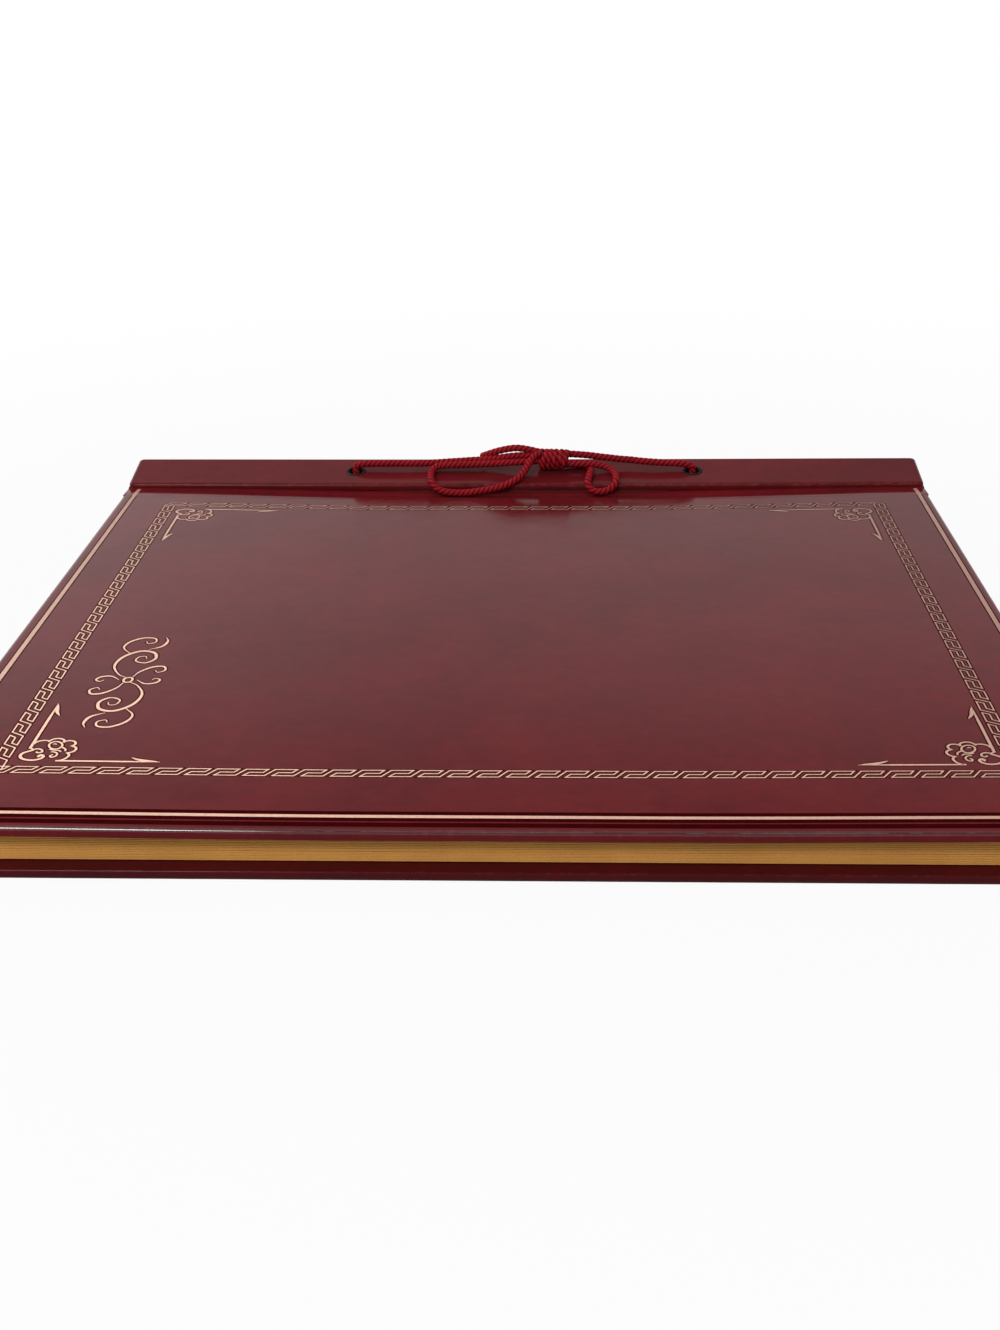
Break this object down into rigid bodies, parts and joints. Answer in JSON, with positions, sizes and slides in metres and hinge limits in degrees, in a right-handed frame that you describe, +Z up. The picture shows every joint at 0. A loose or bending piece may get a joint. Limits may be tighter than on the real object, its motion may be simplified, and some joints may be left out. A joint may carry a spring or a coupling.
{
  "type": "photograph scrapbook",
  "caption": "String-bound photograph scrapbook lying shut: hinged leatherette covers, creased paper leaves and a lacing cord tied in a bow over the binding strip.",
  "frame": {"origin": "middle of the footprint, on the surface that the shut book lies on", "axes": "+Z up through the covers, +X along the head-to-tail length, -Y towards the fore edge and +Y towards the spine"},
  "size_m": [0.356, 0.3514, 0.0355],
  "materials": {
    "leatherette": "satin",
    "grey_board": "matte",
    "lining_paper": "matte",
    "hinge_cloth": "matte",
    "leaf_paper": "matte",
    "eyelet": "satin",
    "cord": "satin"
  },
  "bodies": {
    "binding": {"front_strip_board": "grey_board", "front_strip_leatherette": "leatherette", "front_strip_lining": "hinge_cloth", "back_strip_board": "grey_board", "back_strip_leatherette": "leatherette", "back_strip_lining": "hinge_cloth", "leaf_guards": "leaf_paper", "front_eyelets": "eyelet", "back_eyelets": "eyelet", "cord_back_run": "cord", "cord_left_run": "cord", "cord_right_run": "cord", "bow_knot": "cord", "bow_left_loop": "cord", "bow_right_loop": "cord", "bow_tail_end": "cord"},
    "front_cover": {"front_board": "grey_board", "front_leatherette": "leatherette", "front_lining": "lining_paper", "front_hinge_cloth": "hinge_cloth"},
    "back_cover": {"back_board": "grey_board", "back_leatherette": "leatherette", "back_lining": "lining_paper", "back_hinge_cloth": "hinge_cloth"},
    "leaf_01": {"leaf_01": "leaf_paper"},
    "leaf_02": {"leaf_02": "leaf_paper"},
    "leaf_03": {"leaf_03": "leaf_paper"},
    "leaf_04": {"leaf_04": "leaf_paper"},
    "leaf_05": {"leaf_05": "leaf_paper"},
    "leaf_06": {"leaf_06": "leaf_paper"},
    "leaf_07": {"leaf_07": "leaf_paper"},
    "leaf_08": {"leaf_08": "leaf_paper"},
    "leaf_09": {"leaf_09": "leaf_paper"},
    "leaf_10": {"leaf_10": "leaf_paper"},
    "leaf_11": {"leaf_11": "leaf_paper"},
    "leaf_12": {"leaf_12": "leaf_paper"},
    "leaf_13": {"leaf_13": "leaf_paper"},
    "leaf_14": {"leaf_14": "leaf_paper"},
    "leaf_15": {"leaf_15": "leaf_paper"},
    "leaf_16": {"leaf_16": "leaf_paper"},
    "leaf_17": {"leaf_17": "leaf_paper"},
    "leaf_18": {"leaf_18": "leaf_paper"}
  },
  "joints": [
    {"name": "front_cover_hinge", "type": "hinge", "parent": "binding", "child": "front_cover", "pos_m": [0, 0.13984, 0.01692], "axis": [-1, 0, 0], "range_deg": [0, 120]},
    {"name": "back_cover_hinge", "type": "hinge", "parent": "binding", "child": "back_cover", "pos_m": [0, 0.13984, 0], "axis": [1, 0, 0], "range_deg": [0, 165]},
    {"name": "leaf_01_crease", "type": "hinge", "parent": "binding", "child": "leaf_01", "pos_m": [0, 0.12566, 0.00387], "axis": [-1, 0, 0], "range_deg": [0, 5]},
    {"name": "leaf_02_crease", "type": "hinge", "parent": "binding", "child": "leaf_02", "pos_m": [0, 0.1262, 0.00441], "axis": [-1, 0, 0], "range_deg": [0, 7]},
    {"name": "leaf_03_crease", "type": "hinge", "parent": "binding", "child": "leaf_03", "pos_m": [0, 0.12674, 0.00495], "axis": [-1, 0, 0], "range_deg": [0, 8]},
    {"name": "leaf_04_crease", "type": "hinge", "parent": "binding", "child": "leaf_04", "pos_m": [0, 0.12728, 0.00549], "axis": [-1, 0, 0], "range_deg": [0, 10]},
    {"name": "leaf_05_crease", "type": "hinge", "parent": "binding", "child": "leaf_05", "pos_m": [0, 0.12782, 0.00603], "axis": [-1, 0, 0], "range_deg": [0, 11]},
    {"name": "leaf_06_crease", "type": "hinge", "parent": "binding", "child": "leaf_06", "pos_m": [0, 0.12836, 0.00657], "axis": [-1, 0, 0], "range_deg": [0, 13]},
    {"name": "leaf_07_crease", "type": "hinge", "parent": "binding", "child": "leaf_07", "pos_m": [0, 0.1289, 0.00711], "axis": [-1, 0, 0], "range_deg": [0, 14]},
    {"name": "leaf_08_crease", "type": "hinge", "parent": "binding", "child": "leaf_08", "pos_m": [0, 0.12944, 0.00765], "axis": [-1, 0, 0], "range_deg": [0, 16]},
    {"name": "leaf_09_crease", "type": "hinge", "parent": "binding", "child": "leaf_09", "pos_m": [0, 0.12998, 0.00819], "axis": [-1, 0, 0], "range_deg": [0, 17]},
    {"name": "leaf_10_crease", "type": "hinge", "parent": "binding", "child": "leaf_10", "pos_m": [0, 0.13052, 0.00873], "axis": [-1, 0, 0], "range_deg": [0, 75]},
    {"name": "leaf_11_crease", "type": "hinge", "parent": "binding", "child": "leaf_11", "pos_m": [0, 0.13106, 0.00927], "axis": [-1, 0, 0], "range_deg": [0, 78]},
    {"name": "leaf_12_crease", "type": "hinge", "parent": "binding", "child": "leaf_12", "pos_m": [0, 0.1316, 0.00981], "axis": [-1, 0, 0], "range_deg": [0, 80]},
    {"name": "leaf_13_crease", "type": "hinge", "parent": "binding", "child": "leaf_13", "pos_m": [0, 0.13214, 0.01035], "axis": [-1, 0, 0], "range_deg": [0, 83]},
    {"name": "leaf_14_crease", "type": "hinge", "parent": "binding", "child": "leaf_14", "pos_m": [0, 0.13268, 0.01089], "axis": [-1, 0, 0], "range_deg": [0, 86]},
    {"name": "leaf_15_crease", "type": "hinge", "parent": "binding", "child": "leaf_15", "pos_m": [0, 0.13322, 0.01143], "axis": [-1, 0, 0], "range_deg": [0, 88]},
    {"name": "leaf_16_crease", "type": "hinge", "parent": "binding", "child": "leaf_16", "pos_m": [0, 0.13376, 0.01197], "axis": [-1, 0, 0], "range_deg": [0, 91]},
    {"name": "leaf_17_crease", "type": "hinge", "parent": "binding", "child": "leaf_17", "pos_m": [0, 0.1343, 0.01251], "axis": [-1, 0, 0], "range_deg": [0, 94]},
    {"name": "leaf_18_crease", "type": "hinge", "parent": "binding", "child": "leaf_18", "pos_m": [0, 0.13484, 0.01305], "axis": [-1, 0, 0], "range_deg": [0, 96]}
  ],
  "couplings": [
    {"joint": "leaf_01_crease", "follows": "front_cover_hinge", "ratio": 0.04},
    {"joint": "leaf_02_crease", "follows": "front_cover_hinge", "ratio": 0.0525},
    {"joint": "leaf_03_crease", "follows": "front_cover_hinge", "ratio": 0.065},
    {"joint": "leaf_04_crease", "follows": "front_cover_hinge", "ratio": 0.0775},
    {"joint": "leaf_05_crease", "follows": "front_cover_hinge", "ratio": 0.09},
    {"joint": "leaf_06_crease", "follows": "front_cover_hinge", "ratio": 0.1025},
    {"joint": "leaf_07_crease", "follows": "front_cover_hinge", "ratio": 0.115},
    {"joint": "leaf_08_crease", "follows": "front_cover_hinge", "ratio": 0.1275},
    {"joint": "leaf_09_crease", "follows": "front_cover_hinge", "ratio": 0.14},
    {"joint": "leaf_10_crease", "follows": "front_cover_hinge", "ratio": 0.62},
    {"joint": "leaf_11_crease", "follows": "front_cover_hinge", "ratio": 0.6425},
    {"joint": "leaf_12_crease", "follows": "front_cover_hinge", "ratio": 0.665},
    {"joint": "leaf_13_crease", "follows": "front_cover_hinge", "ratio": 0.6875},
    {"joint": "leaf_14_crease", "follows": "front_cover_hinge", "ratio": 0.71},
    {"joint": "leaf_15_crease", "follows": "front_cover_hinge", "ratio": 0.7325},
    {"joint": "leaf_16_crease", "follows": "front_cover_hinge", "ratio": 0.755},
    {"joint": "leaf_17_crease", "follows": "front_cover_hinge", "ratio": 0.7775},
    {"joint": "leaf_18_crease", "follows": "front_cover_hinge", "ratio": 0.8}
  ]
}
